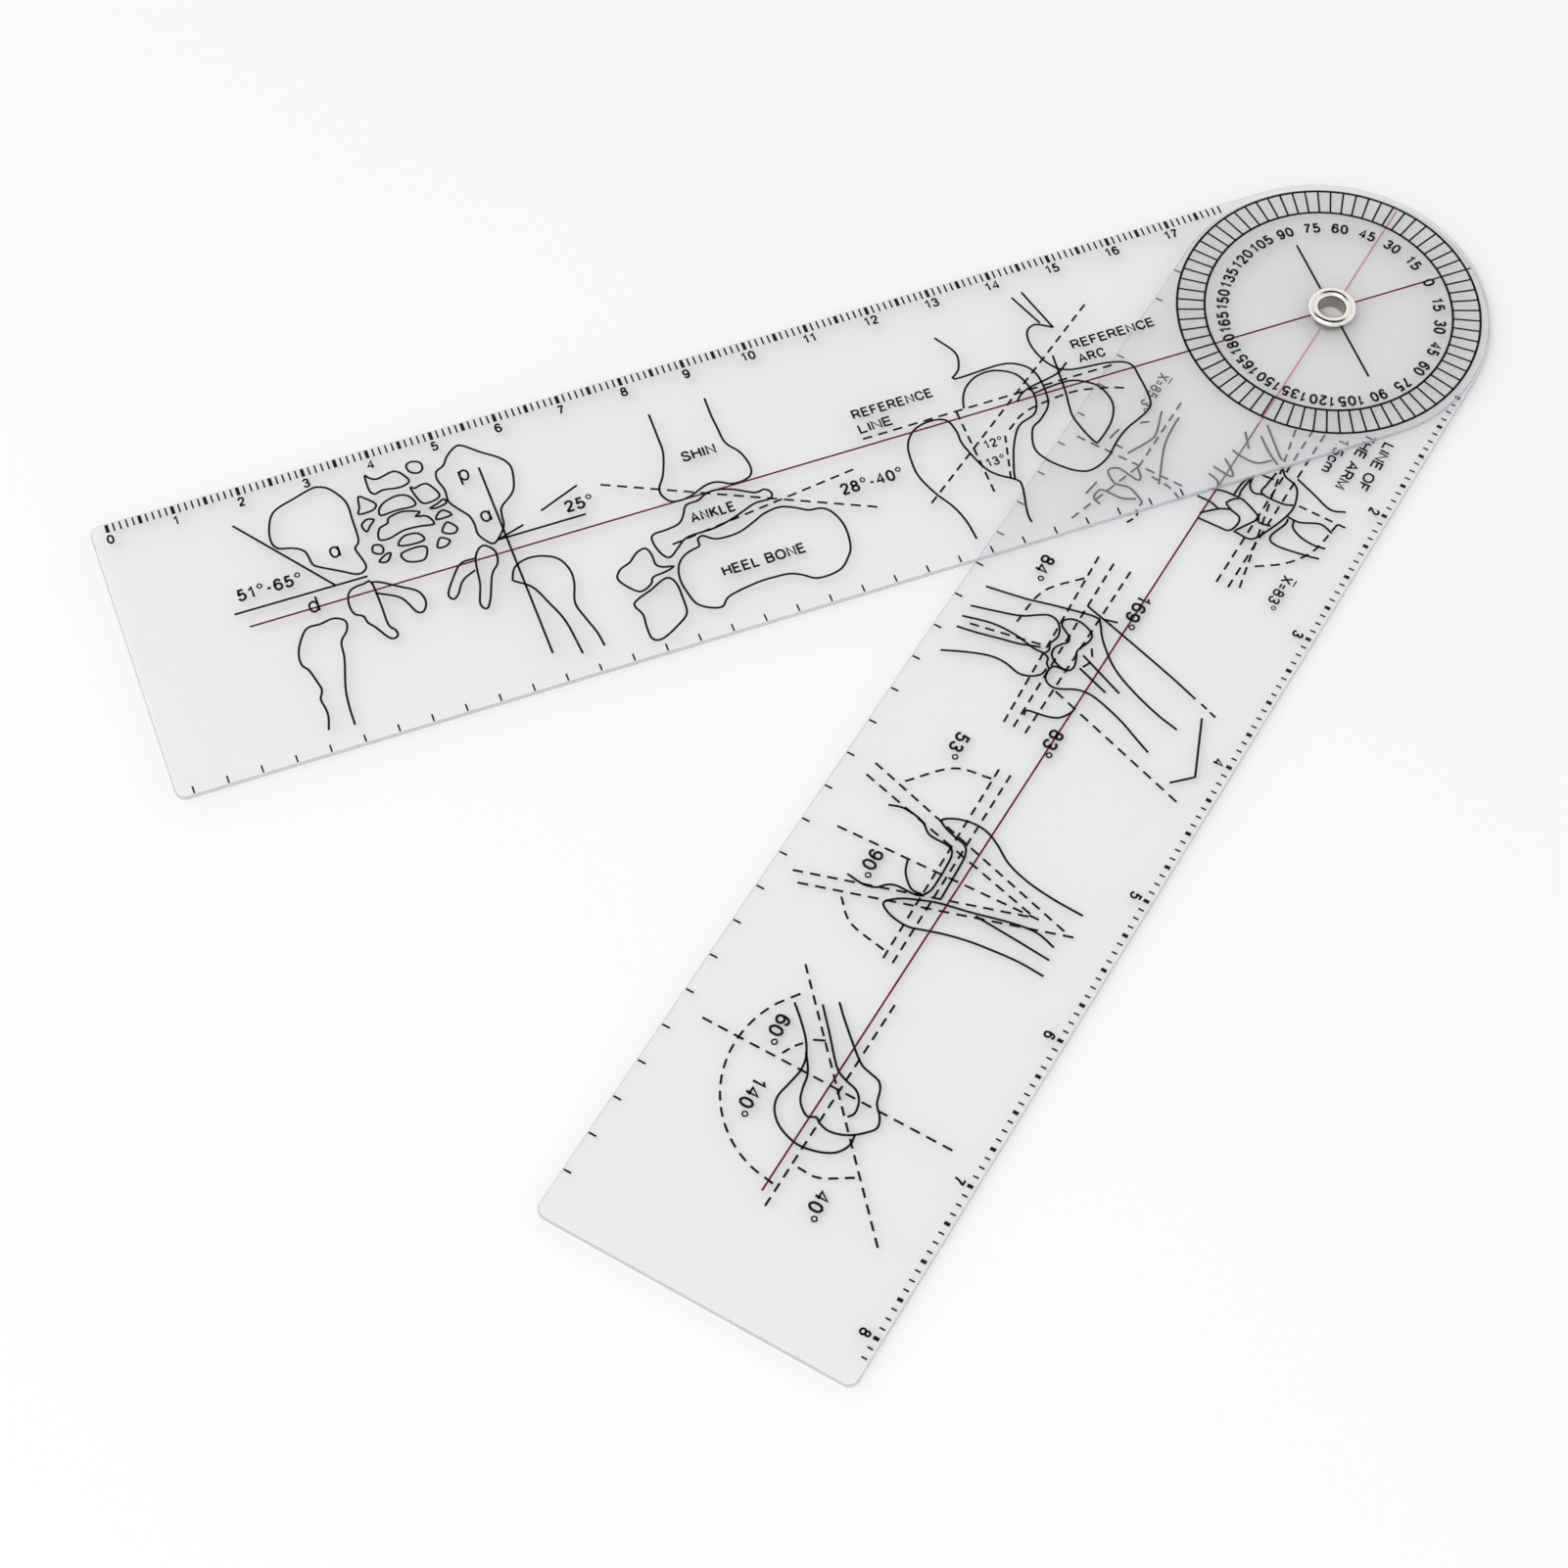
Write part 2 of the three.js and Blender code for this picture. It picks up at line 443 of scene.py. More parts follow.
# Plain lettering, made of strokes. Each glyph has its width and then its strokes, and each stroke its
# kind and then its points, all in hundredths of the capital height.
GLYPHS = {
    "0": (56, "loop 0,50 5,82 28,100 51,82 56,50 51,18 28,0 5,18"),
    "1": (44, "line 4,74 30,100 30,0"),
    "2": (56, "curve 2,74 10,94 29,100 49,92 53,70 40,46 16,20 0,0", "line 0,0 56,0"),
    "3": (56, "curve 3,80 12,95 28,100 47,92 50,72 40,57 22,53",
          "curve 22,53 44,49 56,30 48,8 28,0 9,6 0,23"),
    "4": (60, "line 45,0 45,100 0,30 60,30"),
    "5": (56, "line 50,100 12,100 5,48", "curve 5,48 27,62 48,55 56,33 48,10 27,0 8,6 0,22"),
    "6": (56, "curve 53,80 43,96 29,100 10,88 1,55 4,20 15,3 29,0 50,10 56,32 48,53 29,62 10,54 2,38"),
    "7": (56, "line 0,100 56,100", "curve 56,100 34,62 22,30 17,0"),
    "8": (56, "loop 28,54 46,62 51,78 43,95 28,100 13,95 5,78 10,62",
          "loop 28,54 50,45 56,26 47,6 28,0 9,6 0,26 6,45"),
    "9": (56, "curve 3,20 13,4 27,0 46,12 55,45 52,80 41,97 27,100 6,90 0,68 8,47 27,38 46,46 54,62"),
    "°": (40, "loop 0,88 20,110 40,88 20,66"),
    "-": (30, "line 0,40 30,40"),
    "=": (45, "line 0,28 45,28", "line 0,62 45,62"),
    ".": (4, "line 0,0 4,0"),
    " ": (16,),
    "A": (74, "line 0,0 37,100 74,0", "line 13,33 61,33"),
    "B": (62, "line 36,53 0,53 0,100 36,100", "curve 36,100 53,94 56,68 36,53", "line 0,53 0,0 38,0",
          "curve 36,53 58,43 60,10 38,0"),
    "C": (70, "curve 70,70 58,94 37,100 11,88 0,50 11,12 37,0 58,6 70,32"),
    "E": (58, "line 56,100 0,100 0,0 58,0", "line 0,53 52,53"),
    "F": (54, "line 54,100 0,100 0,0", "line 0,50 46,50"),
    "H": (64, "line 0,0 0,100", "line 64,0 64,100", "line 0,52 64,52"),
    "I": (2, "line 1,0 1,100"),
    "K": (66, "line 0,0 0,100", "line 60,100 0,36", "line 22,60 66,0"),
    "L": (52, "line 0,100 0,0 52,0"),
    "M": (78, "line 0,0 0,100 39,5 78,100 78,0"),
    "N": (64, "line 0,0 0,100 64,0 64,100"),
    "O": (78, "loop 0,50 10,87 39,100 68,87 78,50 68,13 39,0 10,13"),
    "R": (66, "line 0,0 0,100 38,100", "curve 38,100 58,90 58,58 38,48", "line 0,48 40,48 66,0"),
    "S": (60, "curve 56,74 48,93 30,100 10,94 4,74 16,59 44,46 58,30 52,8 30,0 8,7 0,28"),
    "T": (64, "line 0,100 64,100", "line 32,100 32,0"),
    "X": (62, "line 0,0 62,100", "line 0,100 62,0"),
    "a": (48, "loop 48,36 40,62 22,70 4,58 0,34 6,10 22,0 40,10", "line 48,70 48,0"),
    "c": (46, "curve 46,50 36,67 20,70 4,58 0,34 6,10 22,0 36,4 46,22"),
    "d": (48, "loop 48,36 40,62 22,70 4,58 0,34 6,10 22,0 40,10", "line 48,100 48,0"),
    "m": (74, "line 0,70 0,0", "curve 0,48 10,66 24,70 35,62 37,45 37,0",
          "curve 37,48 47,66 61,70 72,62 74,45 74,0"),
    "p": (48, "loop 0,36 8,62 26,70 44,58 48,34 42,10 26,0 8,10", "line 0,70 0,-30"),
}


def glyph(letter):
    """A glyph's width, and its strokes as (kind, points), in capital heights."""
    width, *strokes = GLYPHS[letter]
    drawn = []
    for stroke in strokes:
        kind, *pairs = stroke.split()
        points = [[int(number) / 100 for number in pair.split(",")] for pair in pairs]
        drawn.append((kind, points))
    return width / 100, drawn


def cut_into_dashes(path):
    """The stretches of a path that a dashed line prints, with a whole dash at each end."""
    length = sum((end - start).length for start, end in zip(path, path[1:]))
    count = max(1, round((length + DASH_GAP) / (DASH + DASH_GAP)))
    fit = length / (count * (DASH + DASH_GAP) - DASH_GAP)
    dashes = []
    current = [path[0]]
    left = DASH * fit
    printing = True
    for start, end in zip(path, path[1:]):
        while True:
            span = (end - start).length
            if span < left:
                left -= span
                if printing:
                    current.append(end)
                break
            start = start.lerp(end, left / span)
            if printing:
                dashes.append(current + [start])
            printing = not printing
            current = [start]
            left = (DASH if printing else DASH_GAP) * fit
    if printing:
        dashes.append(current)
    return dashes


class Print:
    """One printed piece: closed prisms of ink on an arm's face."""

    def __init__(self, name, arm=STATIONARY, material=BLACK):
        self.name = name
        self.body = arm
        self.placing = FACES[arm]
        self.material = material
        self.height = BLACK_INK_HEIGHT if material is BLACK else RED_INK_HEIGHT
        self.form = bmesh.new()

    def ribbon(self, path, width, closed=False):
        """A strip of ink along a path, with mitred corners."""
        rows = []
        count = len(path)
        for i, point in enumerate(path):
            before = path[i - 1] if closed or i else 2 * point - path[i + 1]
            after = path[(i + 1) % count] if closed or i + 1 < count else 2 * point - before
            reach_back = (point - before).normalized()
            reach_on = (after - point).normalized()
            along = (reach_back + reach_on).normalized()
            widening = 1 / max(along.dot(reach_on), 1 / MITRE_LIMIT)
            side = Vector((-along.y, along.x)) * width / 2 * widening
            left, right = point + side, point - side
            corners = [
                (left, self.height), (right, self.height), (right, -INK_BITE), (left, -INK_BITE),
            ]
            rows.append([self.form.verts.new((at.x, at.y, z)) for at, z in corners])
        for i in range(count if closed else count - 1):
            this, beyond = rows[i], rows[(i + 1) % count]
            for j in range(4):
                k = (j + 1) % 4
                self.form.faces.new((this[j], beyond[j], beyond[k], this[k]))
        if not closed:
            self.form.faces.new(rows[0])
            self.form.faces.new(reversed(rows[-1]))

    def line(self, *points, width=LINE_WIDTH):
        """Straight strokes from point to point."""
        self.ribbon([Vector(point) for point in points], width)

    def curve(self, *points):
        """A smooth line through the points."""
        self.ribbon(smooth_path(points, False), LINE_WIDTH)

    def loop(self, *points):
        """A smooth closed line through the points."""
        self.ribbon(smooth_path(points, True), LINE_WIDTH, closed=True)

    def circle(self, centre, radius, width):
        steps = round(radius * 8)
        path = [Vector(point) for point in arc(centre, radius, 0, 360 - 360 / steps, steps - 1)]
        self.ribbon(path, width, closed=True)

    def dashed(self, *points):
        """A dashed line through the points: straight if there are two, and smooth if more."""
        for dash in cut_into_dashes(smooth_path(points, False)):
            self.ribbon(dash, LINE_WIDTH)

    def text(self, words, place, height, width=None, turn=0, weight=LETTER_WEIGHT, middle=False):
        """Lettering of that capital height, starting at place or centred there, turned in degrees.

        The width is the whole text's. Without one, the letters keep their own.
        """
        stroke = weight * height
        rise = height - stroke
        gap = LETTER_GAP * height + stroke
        gaps = gap * (len(words) - 1)
        letters = sum(glyph(letter)[0] for letter in words)
        stretch = (width - stroke - gaps) / letters if width else rise * LETTER_STRETCH
        start = Vector((stroke / 2, stroke / 2))
        if middle:
            start = Vector((-letters * stretch - gaps, -rise)) / 2
        spin = Matrix.Rotation(math.radians(turn), 2)
        for letter in words:
            advance, strokes = glyph(letter)
            line_width = stroke * DEGREE_RING_WEIGHT if letter == "°" else stroke
            for kind, points in strokes:
                path = [start + Vector((x * stretch, y * rise)) for x, y in points]
                path = [Vector(place) + spin @ point for point in path]
                closed = kind == "loop"
                if kind != "line":
                    path = smooth_path(path, closed)
                self.ribbon(path, line_width, closed)
            start.x += advance * stretch + gap

    def finish(self):
        """Puts the printing in the scene."""
        mesh = mesh_from(self.form, self.name, self.placing)
        finished_piece(self.name, mesh, [self.material], self.body)


# ------------------------------ scales and dial

def centimetre_scale():
    """Millimetre ticks from 0 to 17.9 cm, every fifth one bold, and a number at each centimetre."""
    ticks = Print("centimetre_scale")
    numerals = Print("centimetre_numerals")
    zero = -187.56
    for i in range(180):
        x = zero + i
        ticks.line((x, 23.0), (x, 24.45), width=BOLD_TICK_WIDTH if i % 5 == 0 else TICK_WIDTH)
    for i in range(18):
        numerals.text(str(i), (zero + 10 * i, 21.75), 1.7, weight=NUMERAL_WEIGHT, middle=True)
    ticks.finish()
    numerals.finish()


def inch_scale():
    """Ticks at sixteenths of an inch, the quarters bold, and numbers from 2 to 8."""
    ticks = Print("inch_scale", MOVING)
    numerals = Print("inch_numerals", MOVING)
    zero = -20.71
    for i in range(16, 131):
        x = zero + INCH * i / 16
        ticks.line((x, 23.3), (x, 24.15), width=BOLD_TICK_WIDTH if i % 4 == 0 else TICK_WIDTH)
    for i in range(2, 9):
        numerals.text(str(i), (zero + INCH * i, 22.05), 1.75, weight=NUMERAL_WEIGHT, middle=True)
    ticks.finish()
    numerals.finish()


def edge_marks():
    """The plain marks along each arm's other long edge: fifths of an inch, and quarters."""
    fifths = Print("stationary_edge_marks")
    for i in range(31):
        x = -187.6 + INCH / 5 * i
        fifths.line((x, -23.2), (x, -24.45), width=TICK_WIDTH)
    fifths.finish()
    quarters = Print("moving_edge_marks", MOVING)
    for i in range(29):
        x = 5.0 + INCH / 4 * i
        quarters.line((x, -23.3), (x, -24.5), width=0.3)
    quarters.finish()


def centre_line(name, stretches, arm=STATIONARY, material=RED):
    """Stretches of an arm's centre line, each from one x to another."""
    pen = Print(name, arm, material)
    for start, end in stretches:
        pen.line((start, 0), (end, 0), width=RED_LINE_WIDTH)
    pen.finish()


def centre_lines():
    """The red line along the middle of each arm, broken at the eyelet, and paler under the dial, a
    painted veil for the stationary sheet lying over it.
    """
    centre_line("stationary_centre_line", [(-172.5, -3.5), (3.5, 23.6)])
    centre_line("moving_centre_line", [(24.4, 171.9)], MOVING)
    centre_line("centre_line_under_dial", [(-23.2, -3.2), (3.2, 24.4)], MOVING, VEILED_RED)


def dial():
    """Two rings with a division every 5 degrees, the cross line, and numerals every 15 degrees."""
    centre = Vector((-0.5, 0))
    outer, inner = 23.31, 19.08
    rings = Print("dial_rings")
    for radius in (outer, inner):
        rings.circle(centre, radius, width=0.38)
    for degrees in range(0, 360, 5):
        way = direction(degrees)
        rings.line(centre + way * inner, centre + way * outer, width=0.3)
    rings.line((0, 3.6), (0, 13.2))
    rings.line((0, -3.6), (0, -13.7))
    rings.finish()
    numerals = Print("dial_numerals")
    numerals_centre = Vector((-0.4, -0.75))
    reading_radius = 16.7
    past_mark = 1.2  # degrees that the printed numbers stand past their marks
    digit_step, digit_gap = 1.36, 0.08
    for degrees in range(-165, 181, 15):
        number = str(abs(degrees))
        turn = degrees + past_mark
        place = numerals_centre + direction(turn) * reading_radius
        width = digit_step * len(number) - digit_gap
        numerals.text(number, place, 1.93, width, turn - 90, NUMERAL_WEIGHT, middle=True)
    numerals.finish()


# ------------------------------ drawings on the stationary arm

def pelvis():
    pen = Print("pelvis_drawing")
    pen.loop((-157.2, 20.5), (-159.9, 19.7), (-163.5, 18.4), (-165, 15.8), (-165.4, 13.2), (-164.7, 11.8),
             (-162.8, 11.2), (-161.2, 10), (-160.8, 7.5), (-159.9, 6.6), (-157.4, 5), (-154.9, 3.5),
             (-153.5, 4.3), (-153.7, 6.1), (-154.1, 8), (-153.2, 9.2), (-153, 12.9), (-153, 16.5),
             (-154.6, 19.5), (-156, 20.4))
    pen.loop((-134.9, 20.5), (-133.7, 20.5), (-131.4, 18.4), (-129.2, 16.6), (-128.1, 15), (-128, 13.2),
             (-129, 10), (-131.4, 7.9), (-131.9, 6.4), (-132.3, 4.3), (-134.4, 2), (-135.6, 3),
             (-136.3, 4.5), (-136.2, 6.1), (-136.5, 7.9), (-137.6, 9.6), (-138.6, 11.4), (-138.5, 13.6),
             (-139, 15.7), (-138.7, 17.2), (-137.4, 17.9), (-136.4, 19.3))
    pen.finish()


def spine_base():
    pen = Print("spine_base_drawing")
    pen.loop((-149, 20), (-149.1, 17.3), (-148.5, 16.4), (-147.2, 16.7), (-144.6, 16.3), (-143.1, 16.8),
             (-143.3, 17.9), (-144.6, 19.4), (-147.4, 18.9), (-148.5, 19.5))
    pen.loop((-142.6, 19.8), (-141.7, 20.2), (-140.5, 19.6), (-140.5, 18.4), (-141.4, 17.9),
             (-142.5, 18.6))
    pen.loop((-151, 16.7), (-150.1, 16.1), (-148.9, 14.6), (-149.7, 13.7), (-151.8, 13.7), (-151.4, 14.8))
    pen.loop((-147.4, 14.6), (-145.6, 15), (-144.2, 14.6), (-143.4, 13.4), (-143.6, 12.4), (-146.4, 12.5),
             (-148.8, 12.4), (-148.6, 13.7))
    pen.loop((-143.2, 15.7), (-142.6, 15.4), (-141.5, 15.7), (-140.5, 15.4), (-139.5, 13.2),
             (-140.2, 12.4), (-142.1, 12.3), (-142.8, 13.6))
    pen.loop((-151, 12.4), (-150, 12), (-150.8, 11.2), (-151.6, 10.3), (-152, 11.6))
    pen.loop((-141.5, 11.2), (-140.3, 11.6), (-139.2, 12.1), (-139, 11.3), (-140.6, 10.9))
    pen.loop((-147.8, 11.6), (-145.6, 12), (-143.2, 11.1), (-144, 10.5), (-142.4, 10), (-141.8, 8.3),
             (-143.9, 8.6), (-146.4, 8.7), (-148.9, 8), (-150.3, 8.4), (-149.7, 10.2), (-148.3, 10.7))
    pen.loop((-141.2, 8.9), (-140.8, 9.8), (-139.8, 10.2), (-138.9, 9))
    pen.loop((-151.4, 7.6), (-150.4, 7.3), (-150.2, 6.4), (-150.8, 5.8), (-151.8, 6.5))
    pen.loop((-146.7, 7.7), (-144.6, 7.5), (-144, 6.1), (-146, 5.9), (-147.9, 6.4))
    pen.loop((-140.1, 7.9), (-139.4, 7.5), (-138.8, 6.4), (-139.6, 5.7), (-141.1, 6.5))
    pen.loop((-151.4, 4.6), (-150.1, 5.5), (-149.4, 5.4), (-150.3, 4.2))
    pen.loop((-148, 4.8), (-145.6, 5.2), (-144.1, 4.7), (-144.8, 2.9), (-146, 2.7), (-147.6, 3.3))
    pen.loop((-141.9, 5.5), (-141.2, 5.4), (-140.5, 4.6), (-141.4, 3.9), (-142.6, 4.1))
    pen.finish()


def hip_bones():
    pen = Print("hip_bones_drawing")
    pen.loop((-153.6, 1.5), (-153.4, -2.5), (-153.4, -6.4), (-152.7, -7.6), (-152.6, -8.6), (-153.3, -9),
             (-154.1, -8.4), (-155.3, -6.2), (-156.1, -5.1), (-156.4, -3.8), (-157.5, -3), (-157.8, -1.3),
             (-157.4, 0.5), (-156.4, 1.4), (-154.7, 1.6))
    pen.curve((-153.6, 1.5), (-152.4, 1.1), (-150.1, -0.5), (-147.8, -2.1), (-147.1, -3.6), (-147.2, -5),
              (-148, -6), (-148.9, -5.6), (-149.7, -3.6), (-150.7, -2.2), (-153.6, -0.5))
    pen.loop((-136.5, 2.1), (-135.8, 2), (-134.8, 0.6), (-135.1, -1.5), (-136.5, -3.2), (-138, -7.1),
             (-139, -8.6), (-139.7, -7.5), (-138.7, -4.3), (-138.3, -1.5), (-137.9, 0.4), (-137.2, 1.6))
    pen.curve((-138, 0.4), (-140.3, 0.2), (-142.4, -2.3), (-143.6, -4.4), (-143.1, -5.4), (-142.2, -4.8),
              (-140.8, -2.7), (-138.6, -1.6))
    pen.curve((-166.7, -20.8), (-166.1, -18.6), (-166.1, -17.1), (-166.3, -15.4), (-165.7, -14),
              (-165.9, -12.6), (-166.5, -10.1), (-167.2, -9), (-167.2, -7.3), (-166.4, -5.2),
              (-164.8, -3.1), (-162.6, -3), (-160.6, -2.7), (-159.1, -3.7), (-159.4, -5.4), (-160.7, -7),
              (-161.1, -9.9), (-162.4, -14.8), (-162.8, -18), (-162.9, -21.2))
    pen.curve((-128.3, -20.7), (-128.9, -14.6), (-130.3, -10.4), (-131.6, -7.3), (-134, -5.2))
    pen.curve((-134, -5.2), (-133.3, -3.5), (-132.2, -2.6), (-130.3, -2.2), (-128.1, -2.7),
              (-126.4, -3.9), (-125.5, -6.1), (-125.6, -8.6), (-126.6, -12), (-126, -15), (-125.2, -17.9),
              (-124.9, -20.5))
    pen.line((-170, 18), (-158.7, 2.8))
    pen.line((-174, 2.8), (-153.8, 2.7))
    pen.line((-133.8, 2.4), (-120.1, 2.4))
    pen.line((-133.8, 2.4), (-129.4, 3.7))
    pen.line((-126.2, 5.2), (-119.7, 7.8))
    pen.line((-132.5, 15.8), (-132.4, -19.2))
    pen.finish()
    words = Print("pelvis_lettering")
    words.text("51°-65°", (-172.8, 4.65), 2.15, 9.9)
    words.text("25°", (-122.7, 3.5), 2.15, 4.5)
    words.text("a", (-157.1, 8.8), 2.9, weight=0.12, middle=True)
    words.text("d", (-162.7, 0.6), 2.9, weight=0.12, middle=True)
    words.text("p", (-135, 15.6), 2.9, weight=0.12, middle=True)
    words.text("a", (-134.2, 7.4), 2.9, weight=0.12, middle=True)
    words.finish()


def ankle():
    pen = Print("ankle_drawing")
    pen.curve((-105.4, 16.5), (-105.5, 12.3), (-105.7, 9), (-107, 5.3), (-108.3, 3.2), (-108.4, 1.7),
              (-107.3, 0.2), (-104.8, 0.1), (-101.7, 1.3), (-99.8, 1.3), (-98, 0.3), (-96.3, 0.2),
              (-94.7, 0.8), (-94.2, 2.6), (-94.8, 5.3), (-96.3, 7.7), (-96.5, 10.7), (-96.6, 13),
              (-96.5, 16.5))
    pen.loop((-100.5, 0), (-98.2, -0.7), (-95.2, -2.4), (-93.7, -2.3), (-92.9, -3.2), (-93.4, -4.2),
             (-95.7, -4.2), (-97.5, -4.8), (-99.9, -5.7), (-103, -6.4), (-107.3, -6.6), (-109.2, -7.9),
             (-110.8, -9.1), (-111.8, -8.3), (-112.4, -6), (-112, -4.5), (-109.7, -4.3), (-107.7, -3.9),
             (-106.6, -2.7), (-105.6, -1.1), (-103.6, -0.9), (-102.3, -0.2))
    pen.line((-106, -7.4), (-106.1, -8.7))
    pen.curve((-106, -7.4), (-105.1, -7.1), (-103.7, -8.2), (-101.9, -8.5), (-99.6, -8.3), (-97.1, -7.3),
              (-95.4, -6.5), (-93.3, -6.1), (-91.9, -6.3), (-90.3, -7.1), (-88.7, -8.1), (-87.1, -8.3),
              (-85.9, -9.1), (-85, -11), (-84.7, -13.4), (-85.2, -16.4), (-86.3, -18.1), (-87.8, -19.5),
              (-90, -20), (-92, -19.8), (-93.6, -18.6), (-95.3, -17.8), (-97.4, -17.6), (-99.9, -17.6),
              (-103.3, -18.1), (-105.3, -18.7), (-106.5, -19.9), (-108.2, -19.5), (-109.8, -18.3),
              (-110.4, -16.6), (-110.8, -13.6), (-110.2, -11), (-108.6, -9.4), (-106.1, -8.7))
    pen.loop((-113.8, -6.4), (-113.3, -7.8), (-113.3, -9.6), (-112.4, -10.4), (-110.9, -10.8),
             (-112.3, -11.3), (-114.4, -11.6), (-115, -12.6), (-116.8, -13.4), (-118.2, -12.3),
             (-119.4, -10.2), (-118.5, -8.7), (-116.8, -8), (-115.3, -6.7))
    pen.loop((-113.4, -12.6), (-112.2, -12.5), (-111.5, -13.9), (-111.5, -16.6), (-111.8, -19.2),
             (-113.6, -20.7), (-116.5, -22.2), (-118, -21.7), (-118.1, -19.3), (-117.9, -17.3),
             (-118.6, -15.4), (-117.7, -14.5), (-115.4, -13.6))
    pen.dashed((-116.4, 6.7), (-78.9, -11))
    pen.dashed((-109.8, -7.1), (-79.9, -3.4))
    pen.finish()
    words = Print("ankle_lettering")
    words.text("SHIN", (-100.7, 7.3), 1.9, 5.4, middle=True)
    words.text("ANKLE", (-102.3, -3.6), 1.9, 7.0, middle=True)
    words.text("HEEL BONE", (-98, -14.1), 1.85, 13.0, middle=True)
    words.text("28°-40°", (-83, -7.4), 2.15, 9.9)
    words.finish()


def hip():
    pen = Print("hip_drawing")
    pen.curve((-67.1, -21.3), (-67.4, -17.8), (-68.3, -14.7), (-69.9, -11.6), (-71.1, -8.1),
              (-71.2, -5.3), (-70.6, -2), (-68.7, 0.3), (-65.9, 1), (-63.5, 0.3), (-62.8, -2.2),
              (-62.8, -4.7), (-61.4, -9.5), (-59.9, -11.6), (-57.7, -13.3), (-57.2, -14.7),
              (-58.3, -19.5), (-58.3, -21.3))
    pen.curve((-60.2, 1.5), (-59.7, 3.1), (-58.7, 4.8), (-56.9, 6.2), (-54.9, 6.7), (-52.8, 6.4),
              (-50.5, 4.9), (-49.5, 2.5), (-49.3, -0.5), (-50.5, -3), (-53.5, -4.3), (-55.6, -7.4),
              (-57.3, -11.6), (-57.7, -13.1))
    pen.curve((-59.6, 15.4), (-57.6, 11.6), (-58.3, 8.6), (-59.5, 7.1), (-52.1, 7.3), (-49.2, 6.3),
              (-47.6, 4.3), (-47.3, 1.2), (-47.9, -2.1), (-50, -4.3), (-51.8, -5.5), (-52.9, -8.8),
              (-52.1, -11.2), (-50.4, -13.3), (-48.3, -15), (-46.2, -15.5), (-43.3, -14.3),
              (-40.7, -11.9), (-38.3, -10.2), (-34.3, -8.3), (-33, -6.4), (-32.9, -2), (-33.3, 0.8),
              (-36.2, 2.1), (-42.5, 2.9), (-45, 5), (-46.2, 8.8), (-45.8, 11.7), (-44.2, 12.6),
              (-42.5, 11.7), (-41.8, 11.2))
    pen.line((-41.7, 11.1), (-43.8, 19.1))
    pen.line((-45.6, 18.6), (-43.3, 12.6))
    pen.curve((-49.3, 0.5), (-46.2, 0.9), (-43.1, 0.9), (-41.1, 0), (-39.3, -1.7), (-38.6, -5),
              (-40, -8.1), (-43, -10.8), (-44, -10.7), (-45.2, -6), (-45, -3.3), (-44.5, -0.5),
              (-43.8, 6.2))
    pen.curve((-52.1, 0), (-51.1, 1), (-49.3, 1.8), (-44.5, 2.8), (-42.3, 4.3))
    pen.dashed((-55.2, -4.5), (-52.1, -2.4), (-48, -1.5), (-43.1, -1.2), (-38.3, -2.2), (-35.9, -3.1))
    pen.dashed((-76.6, 1.3), (-36, 1.5))
    pen.dashed((-71.1, -13.1), (-35.5, 13.6))
    pen.dashed((-61.5, 1.2), (-61.5, -14.3))
    pen.dashed((-56.2, -5.3), (-58.3, -12.9))
    pen.finish()
    words = Print("hip_lettering")
    words.text("REFERENCE", (-76.6, 5.1), 1.75, 13.0)
    words.text("LINE", (-76.6, 2.3), 1.75, 5.4)
    words.text("REFERENCE", (-40.4, 6.2), 1.75, 13.7)
    words.text("ARC", (-40.4, 3.4), 1.75, 4.4)
    words.text("12°", (-59.9, -6.7), 1.6)
    words.text("13°", (-60.8, -9.9), 1.6)
    words.finish()


# ------------------------------ drawings on the moving arm

